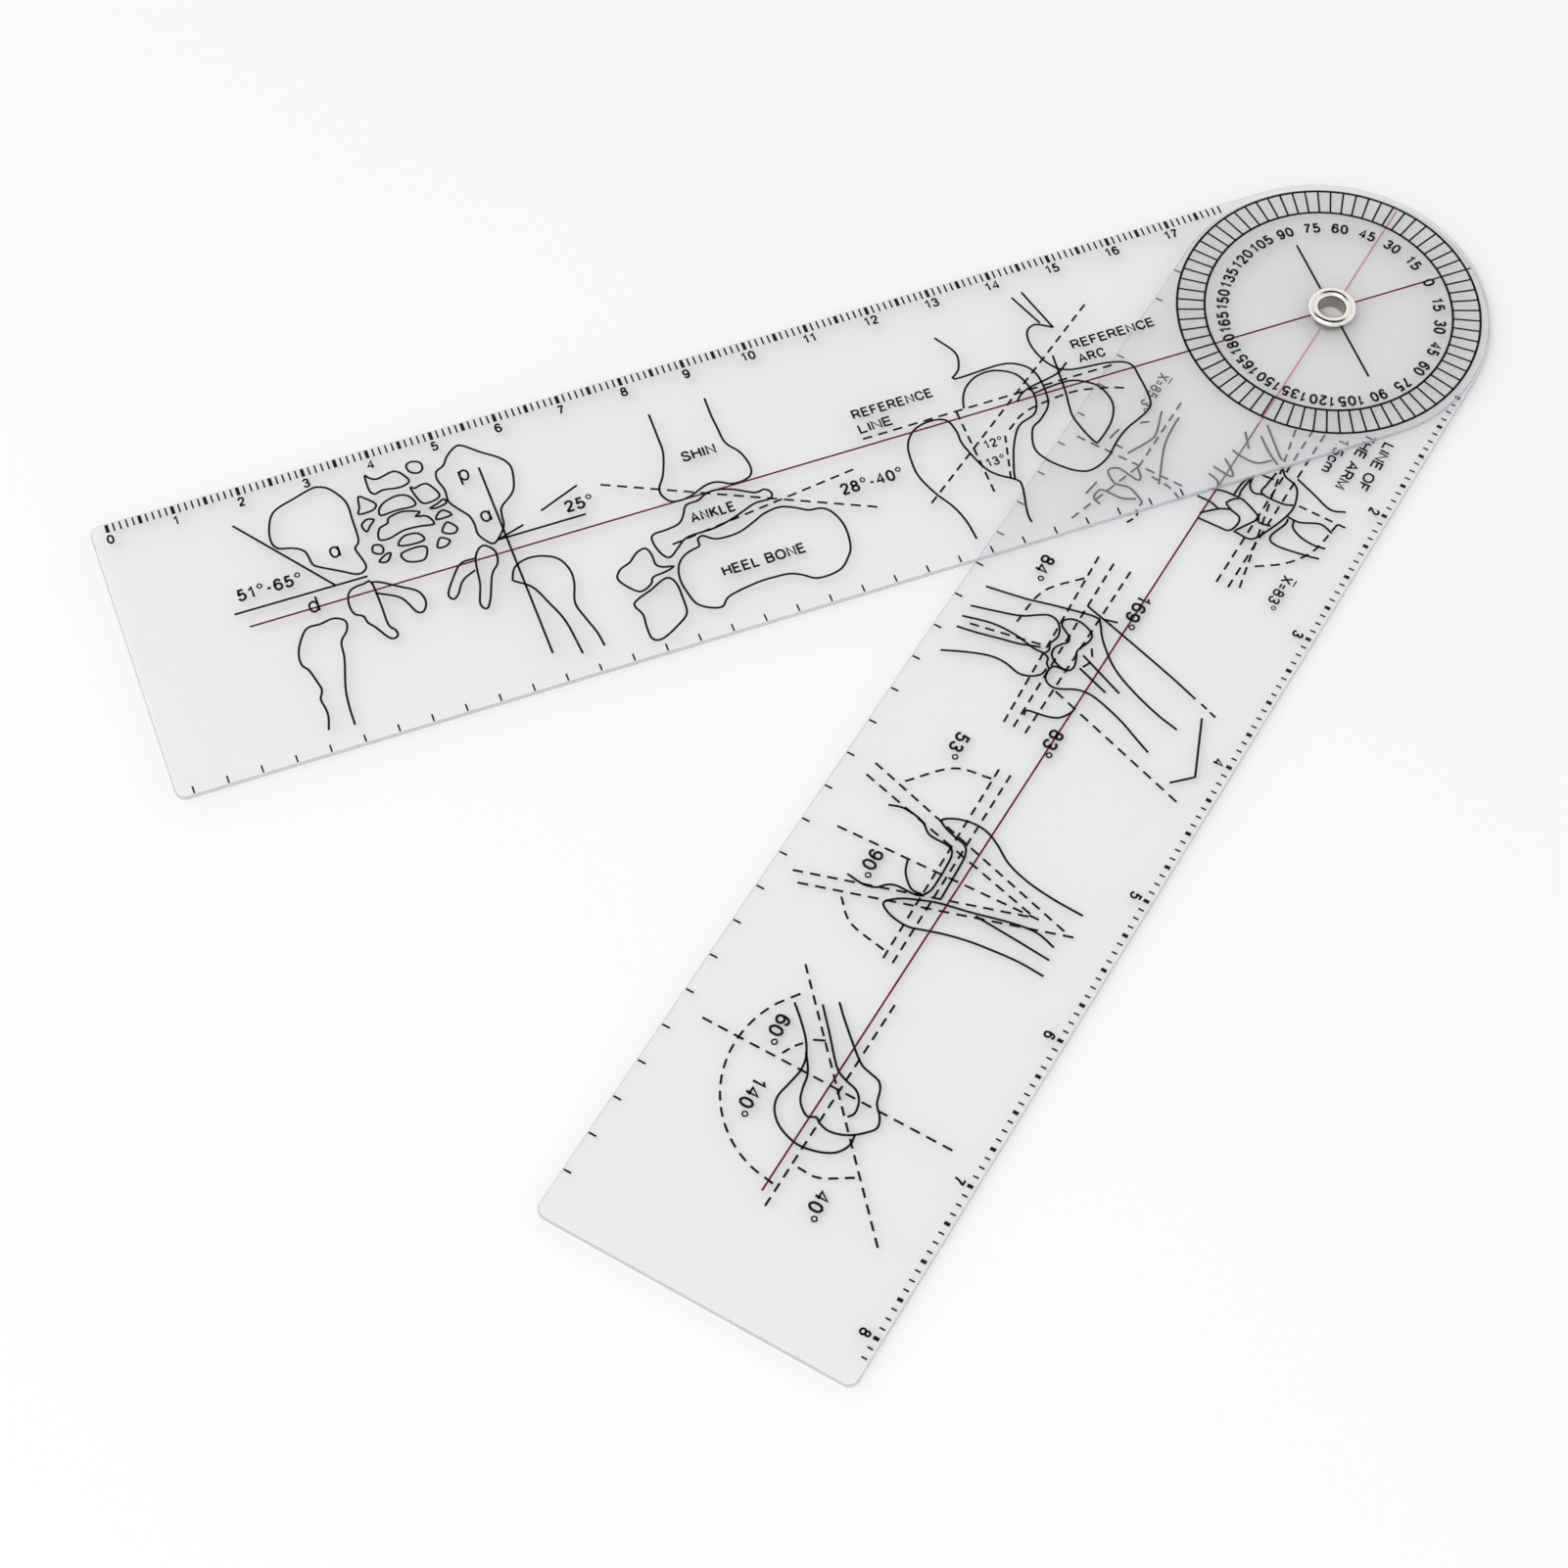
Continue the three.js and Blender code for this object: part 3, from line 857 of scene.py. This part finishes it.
def wrist_front():
    pen = Print("wrist_front_drawing", MOVING)
    pen.dashed((21.3, 9.5), (53.4, 9.5))
    pen.dashed((21.3, 7.6), (53.4, 7.6))
    pen.dashed((22.7, 5.3), (52.6, 11))
    pen.dashed((35, 19.7), (35, 12))
    pen.dashed((35.1, 18.4), (41, 17.5), (45.1, 15), (48.1, 11.2))
    pen.curve((32.4, 18.5), (33.2, 16.3), (31.9, 12.8), (30.7, 9.6))
    pen.curve((36.9, 18.4), (36.3, 16.2), (37.6, 13.4), (37.6, 11.4))
    pen.curve((39.9, 18.8), (40.2, 16.9), (39.9, 14.7), (39, 13), (37.7, 12.5))
    pen.curve((42, 18.8), (42.5, 16.6), (43.1, 12.2), (42.1, 10.8), (39, 11.7), (37.9, 11.6))
    pen.curve((30.1, 6.9), (31.2, 7.8), (32.2, 10.2), (35.4, 11.4), (38.5, 11), (42.9, 9.4))
    pen.curve((35.3, 11.2), (35.9, 9.7), (35.8, 6.2), (34.1, 6.1), (31.3, 6.4))
    pen.curve((40.4, 10), (40.7, 8.2), (39.7, 7.5), (38.5, 5), (38.3, 3.7), (39.9, 2.4), (40.8, 3.6),
              (41.3, 5.2), (42.6, 5.6), (44.3, 5), (44.5, 3.2), (44.6, 0))
    pen.curve((40.5, 7.7), (41.9, 6.9), (43.8, 5.8))
    pen.curve((42.9, 9.4), (44.1, 8.3), (44, 5.6))
    pen.curve((40.8, 3.4), (41.6, 1.9), (43.7, -0.2))
    pen.curve((41.6, 1.9), (41.1, 0.3), (41.1, -1.9))
    pen.curve((35.8, 6.6), (36.3, 5), (35.2, 3.9), (33.5, 3.7), (36.9, 3.3), (38.1, 3.4), (38.3, 1.2),
              (39, -0.9))
    pen.curve((34, 3.4), (35.7, 2.8), (38.1, 2.7))
    pen.curve((29.6, 4.8), (31.2, 3), (31.3, 0.3), (30.9, -1.2))
    pen.curve((24.1, 1.2), (28.2, 5.3), (28.7, 6.2))
    pen.curve((26.4, 1.3), (28.5, 3.7), (29.9, 5.9))
    pen.line((26.9, -1.1), (29.5, 0.8))
    pen.curve((32.9, -1.5), (34.4, 0.5), (35.4, 0.8), (35.1, -2.3))
    pen.curve((36.6, -2.3), (37.1, -0.6), (38.2, 0))
    pen.line((32.6, 6.6), (32.8, 4.4))
    pen.finish()
    words = Print("wrist_front_lettering", MOVING)
    words.text("LINE OF", (17.8, 17.8), 1.75, 9.8)
    words.text("THE ARM", (17.6, 14.8), 1.75, 11.4)
    words.text("1.5cm", (20.4, 11.7), 1.75, 7.0)
    words.text("X=83°", (47.1, 15.5), 1.75, 6.6, weight=0.17)
    words.line((47.2, 17.7), (48.4, 17.7), width=0.2)
    words.finish()


def wrist_side():
    pen = Print("wrist_side_drawing", MOVING)
    pen.dashed((40.7, -4.7), (40.7, -22.5))
    pen.dashed((27.1, -11.9), (41, -11.9))
    pen.dashed((41, -12), (54.3, -16.1))
    pen.curve((29.7, -10.9), (32.6, -10.8), (36, -10.2), (42.2, -7.8))
    pen.curve((30, -13.7), (34.1, -12.5), (36, -12.8), (39.6, -14.5))
    pen.curve((41.2, -11.9), (42.4, -10.8), (43.1, -10.8), (43, -12.2), (42.7, -14.4), (43.9, -15.5),
              (45.4, -13.6), (45, -11.4), (45.8, -9.4), (46.4, -8.5), (47.2, -8.5))
    pen.curve((46.3, -9.5), (47.3, -11.5), (47.4, -14.5), (48.2, -15.1), (49.4, -15), (49.9, -13.7))
    pen.dashed((48, -8.6), (49, -8), (50.8, -8.7))
    pen.dashed((43, -3.9), (41.9, -6.2), (41.5, -9.4))
    pen.line((46.6, -16), (49.3, -16.4))
    pen.line((32.7, -14.4), (33.6, -15.5))
    pen.line((39.1, -15.6), (39.1, -16.7))
    pen.line((36.3, -17.7), (38.5, -18.1))
    pen.finish()
    words = Print("wrist_side_lettering", MOVING)
    words.text("X=85.3°", (23.6, -17.3), 1.75, 7.9, weight=0.17)
    words.line((23.7, -15.2), (24.9, -15.2), width=0.2)
    words.finish()


def knee():
    pen = Print("knee_drawing", MOVING)
    pen.dashed((58.3, -4.1), (90.8, -4.1))
    pen.dashed((58.3, -6.9), (90.7, -6.05))
    pen.dashed((58.3, -9.4), (90.7, -7.65))
    pen.dashed((62.8, -9.4), (66.4, -12.6), (69.3, -13.9), (74.6, -14.3))
    pen.curve((88.2, -5.7), (87.3, -5.8), (87, -4.6), (86.7, -2.8), (86.1, -1.3), (85, -0.4), (83.8, 0.1))
    pen.dashed((89.8, 19.9), (82.3, -3.7))
    pen.dashed((74.4, 18.2), (73.4, 15.4))
    pen.curve((73.1, 14.3), (71.4, 9.1), (68.6, -0.5), (66.9, -6.7))
    pen.line((75.5, 16.6), (84.8, 20.3), (87.5, 17.6))
    pen.curve((79.1, 14.4), (78.2, 10.6), (76.4, 5.6), (74.3, 1.6), (71.1, -1.9), (68.6, -3.7), (68, -5),
              (69.3, -10.9), (70.4, -15.1), (71.5, -21.2))
    pen.curve((84.6, 12.6), (83.5, 10.2), (82, 7), (80.7, 3.2), (80.2, 0.7), (80.5, -1.3), (81.7, -3.6),
              (81.8, -5), (81, -6.1), (79.6, -6.3), (78.6, -5.9), (78.4, -4.2))
    pen.loop((70.9, -8.5), (70.1, -7.6), (69.9, -6.2), (70.4, -4.6), (71.1, -3.7), (72.3, -3.6),
             (74.5, -4.3), (75.8, -3.8), (77.2, -3.4), (78.2, -3.8), (78.3, -5), (77.8, -6.3), (77, -7.2),
             (75.9, -7.4), (74.8, -6.9), (74, -6.2), (73.1, -6.4), (72.4, -7.4), (71.8, -8.3))
    pen.curve((75.6, -21.5), (74.6, -18), (73.4, -14.3), (72, -12.2), (71.2, -10.8), (71.4, -9.4),
              (72.5, -8.3), (74, -7.9), (75.4, -8.3), (76.5, -7.9), (77.3, -8.2))
    pen.curve((79.4, -6.3), (78.7, -7.1), (77.8, -7.4), (77.4, -8.4), (77.4, -10), (76.7, -13.5),
              (76.7, -17.3), (77.8, -21.7))
    pen.curve((76.7, -9.2), (77.8, -12.2), (78.4, -14.8), (79.3, -18.6), (79.8, -21.5))
    pen.curve((79.5, -6.7), (80.8, -6.9), (81.9, -8.2), (82.3, -9.9), (81.7, -12.4), (81.8, -14.8),
              (82.9, -17.9), (84.6, -21.5))
    pen.dashed((76.3, -9.4), (78.4, -20.1))
    pen.line((77.9, 4.4), (74.8, -3.2))
    pen.line((78.8, 2.6), (77, -2.6))
    pen.dashed((73.1, -2.7), (75, -1.7), (76.6, -2.3))
    pen.line((67.2, -1.5), (67.8, -3.7))
    pen.finish()
    words = Print("knee_lettering", MOVING)
    words.text("169°", (61, -1.2), 2.25, 6.5)
    words.text("83°", (88, -1.2), 2.25, 4.9)
    words.text("84°", (62, -16.7), 2.2, 4.7)
    words.text("53°", (95.3, -12.6), 2.2, 4.7)
    words.finish()


def lower_leg():
    pen = Print("lower_leg_drawing", MOVING)
    pen.dashed((98, -2.5), (133, -2))
    pen.dashed((98, -4.4), (133, -3.5))
    pen.dashed((99.9, -4.6), (101.2, -10.1), (106.6, -15))
    pen.dashed((131.8, -4.1), (130.5, -10.1), (127.5, -13.4))
    pen.curve((112.9, 17.2), (112.7, 12.5), (112.1, 8.1), (110.9, 4.3), (109, 1.4), (107.9, -0.9),
              (107.7, -3.3), (108.3, -5.7), (109.4, -7.3), (110.2, -6.5), (110.9, -4.6), (111.4, -2.6),
              (112.5, -1.8), (114.3, -1.5), (120.7, -1.2))
    pen.curve((124.1, 17), (123.9, 12.9), (124.2, 8.7), (124.6, 5.4), (125.3, 2.2), (126.2, -0.7),
              (126.9, -3), (126.7, -5.4), (126.1, -7), (125.4, -7.8), (124.6, -7.4), (123.4, -5.9),
              (122.3, -3.5), (121.4, -1), (120.4, 3.6), (119.3, 7.8), (118.7, 10.8), (118.6, 13.3),
              (119.4, 16.1))
    pen.curve((121.5, 16.5), (121.1, 11.6), (120.6, 4.3))
    pen.curve((111.2, -15.1), (110.6, -13.4), (110.6, -11.6), (111.2, -9.4), (112.5, -7.6), (112.7, -4.4),
              (113.6, -3.4), (115.5, -3.1), (119.3, -3), (120.8, -3.3), (121.9, -4.4), (122, -7.5),
              (122.6, -8.9), (123.7, -9.9), (124.2, -11.8), (123.9, -14.5))
    pen.curve((117.6, -8.3), (119.6, -7.5), (121.4, -5.6), (121.4, -3.9))
    pen.dashed((116.4, 16.1), (106.1, -20.1))
    pen.dashed((116.4, 10.7), (108.4, -20.3))
    pen.dashed((116.6, 17.7), (128.7, -19.8))
    pen.dashed((116.9, 10.7), (127.3, -21.4))
    pen.dashed((116.6, 12.2), (117.9, -19.6))
    pen.finish()
    words = Print("lower_leg_lettering", MOVING)
    words.text("90°", (118.4, -13.7), 2.25, 4.8)
    words.finish()


def elbow():
    pen = Print("elbow_drawing", MOVING)
    pen.dashed((138.5, 1.5), (173.6, 1.5))
    pen.dashed((153.7, 19.1), (153.7, -20.3))
    pen.dashed((139.3, -12.3), (171.2, 17.5))
    pen.dashed(*arc((154.2, 1.6), 16.1, -3, -131, 8))
    pen.dashed((163.9, 9.8), (166.4, 5.6), (166.5, 2.4))
    pen.line((148.1, -3.9), (148.9, -5.5))
    pen.dashed((150, -6.4), (151.2, -7.3), (152.8, -8.1))
    pen.curve((142, -5.3), (144.3, -3), (148.4, 1.6), (149.2, 3.4), (149.7, 5.3), (150.8, 6.2),
              (152.9, 6.9), (154.4, 8.2), (156, 8.7), (157.4, 7.7), (158.7, 6.2), (159.5, 4.5),
              (159.7, 2.9), (159.3, 1.5))
    pen.curve((159.3, 1.5), (158.8, 0.8), (159.3, -0.3), (158.7, -1.4), (157.6, -2.4), (155.9, -3),
              (154, -3.4), (152.4, -4.3), (151, -5.4))
    pen.curve((158.3, 6.6), (160, 6.8), (161.7, 6), (162.8, 4.4), (163.5, 2), (163.5, -0.1),
              (162.5, -2.8), (160.8, -4.6), (158.8, -5.3), (156.6, -5), (153.9, -4.6), (151.6, -5),
              (149.3, -6.4), (147, -8.6), (145.2, -10.6))
    pen.curve((143.5, -7.1), (146.7, -4.2), (150.8, -0.6), (151.9, 1.4), (152.5, 3.4), (153.8, 4.6),
              (155.6, 5), (156.6, 4.4))
    pen.finish()
    words = Print("elbow_lettering", MOVING)
    words.text("60°", (147.6, -11.7), 2.25, 4.9)
    words.text("140°", (157.6, -9.6), 2.25, 6.3)
    words.text("40°", (167.7, 6.3), 2.25, 4.8)
    words.finish()


# ------------------------------ studio

def floor():
    """A plain pale floor, not part of the object."""
    material, shader = new_material("studio_floor")
    links = material.node_tree.links
    tone = blotches(material, noise(material, 3), (0.9, 0.9, 0.9), (0.91, 0.91, 0.91))
    links.new(tone, shader.inputs["Base Color"])
    shader.inputs["Roughness"].default_value = 0.9
    shader.inputs["Specular IOR Level"].default_value = 0.0
    half = 12.0
    gap_under_object = 0.00002
    mesh = bpy.data.meshes.new("studio_floor")
    corners = [(-half, -half, 0), (half, -half, 0), (half, half, 0), (-half, half, 0)]
    mesh.from_pydata(corners, [], [(0, 1, 2, 3)])
    mesh.materials.append(material)
    surface = bpy.data.objects.new("studio_floor", mesh)
    surface.location.z = cad_box[0].z - gap_under_object
    bpy.context.scene.collection.objects.link(surface)


def grey_ramp(nodes, stops):
    """A ramp of greys through (position, grey) stops."""
    ramp = nodes.new("ShaderNodeValToRGB")
    elements = ramp.color_ramp.elements
    while len(elements) < len(stops):
        elements.new(1.0)
    for element, (position, grey) in zip(elements, stops):
        element.position = position
        element.color = (grey, grey, grey, 1)
    return ramp


def maths(nodes, kind, operation):
    """A Math or Vector Math node, set to an operation."""
    node = nodes.new("ShaderNode" + kind)
    node.operation = operation
    return node


def world():
    """A plain white backdrop, and round it the studio that the object is lit by and mirrors.

    The studio is white, darker towards the floor and overhead. It has a dark card where faces that
    lean a little to the camera mirror it, made of two round patches side by side.
    """
    sky = bpy.data.worlds.new("studio_world")
    sky.use_nodes = True
    nodes = sky.node_tree.nodes
    links = sky.node_tree.links
    nodes.clear()
    place = nodes.new("ShaderNodeTexCoord")
    split = nodes.new("ShaderNodeSeparateXYZ")
    sides = grey_ramp(nodes, [(0.03, 0.25), (0.12, 1.0), (0.6, 1.0), (0.8, 0.85)])
    card_lean = 0.35
    card_spread = 0.22
    middle = Vector((card_lean * LOOK.x, card_lean * LOOK.y, -LOOK.z))
    sideways = Vector((-LOOK.y, LOOK.x, 0)) * card_spread
    nearest_patch = maths(nodes, "Math", "MAXIMUM")
    for i, patch in enumerate((middle + sideways, middle - sideways)):
        towards_patch = maths(nodes, "VectorMath", "DOT_PRODUCT")
        towards_patch.inputs[1].default_value = patch.normalized()
        links.new(place.outputs["Generated"], towards_patch.inputs[0])
        links.new(towards_patch.outputs["Value"], nearest_patch.inputs[i])
    patch_edge = math.cos(math.radians(14))
    soft_edge = math.cos(math.radians(18))
    card = grey_ramp(nodes, [(soft_edge, 1.0), (patch_edge, 0.0)])
    studio = maths(nodes, "VectorMath", "MULTIPLY")
    ray = nodes.new("ShaderNodeLightPath")
    with_backdrop = maths(nodes, "VectorMath", "MAXIMUM")
    background = nodes.new("ShaderNodeBackground")
    background.inputs["Strength"].default_value = 0.95
    output = nodes.new("ShaderNodeOutputWorld")
    links.new(place.outputs["Generated"], split.inputs["Vector"])
    links.new(split.outputs["Z"], sides.inputs["Fac"])
    links.new(nearest_patch.outputs["Value"], card.inputs["Fac"])
    links.new(sides.outputs["Color"], studio.inputs[0])
    links.new(card.outputs["Color"], studio.inputs[1])
    links.new(studio.outputs["Vector"], with_backdrop.inputs[0])
    links.new(ray.outputs["Is Camera Ray"], with_backdrop.inputs[1])
    links.new(with_backdrop.outputs["Vector"], background.inputs["Color"])
    links.new(background.outputs["Background"], output.inputs["Surface"])
    bpy.context.scene.world = sky


def lamp(name, offset, size, power):
    """A large soft square light, at an offset in metres from the pivot, aimed at the object."""
    data = bpy.data.lights.new(name, "AREA")
    data.size = size
    data.energy = power
    light = bpy.data.objects.new(name, data)
    light.location = PIVOT + Vector(offset)
    aim = (cad_box[0] + cad_box[1]) / 2 - light.location
    light.rotation_mode = "QUATERNION"
    light.rotation_quaternion = aim.to_track_quat("-Z", "Y")
    bpy.context.scene.collection.objects.link(light)


def camera():
    """The camera, in the photograph's place, found by fitting the printed scales and the dial."""
    from_pivot = Vector((-206.81, -308.45, 465.43)) * MM
    roll = 1.01  # degrees
    data = bpy.data.cameras.new("camera")
    data.sensor_width = 36
    data.lens = 87.296
    data.clip_start = 0.01
    data.clip_end = 20
    view = bpy.data.objects.new("camera", data)
    printed_face = Vector((PIVOT.x, PIVOT.y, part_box("stationary_arm")[1].z))
    view.location = printed_face + from_pivot
    view.rotation_mode = "QUATERNION"
    roll_turn = Quaternion((0, 0, 1), math.radians(roll))
    view.rotation_quaternion = LOOK.to_track_quat("-Z", "Y") @ roll_turn
    bpy.context.scene.collection.objects.link(view)
    bpy.context.scene.camera = view


camera()
floor()
world()
lamp("key_light", offset=(-0.65, -0.3, 1.2), size=0.9, power=6.5)
bpy.context.scene.view_settings.view_transform = "Standard"
bpy.context.scene.cycles.transparent_max_bounces = 32  # light passes many clear faces on its way
bpy.context.scene.cycles.diffuse_bounces = 12  # and is thrown back and forth between them

half_turn = Matrix.Rotation(math.pi, 4, "Z")  # an arm's outline has its square end on +X
clear_sheet("stationary_sheet", STATIONARY, STATIONARY, FACES[STATIONARY] @ half_turn)
clear_sheet("moving_sheet", MOVING, MOVING, FACES[MOVING])
eyelet()

centimetre_scale()
inch_scale()
edge_marks()
centre_lines()
dial()
pelvis()
spine_base()
hip_bones()
ankle()
hip()
wrist_front()
wrist_side()
knee()
lower_leg()
elbow()
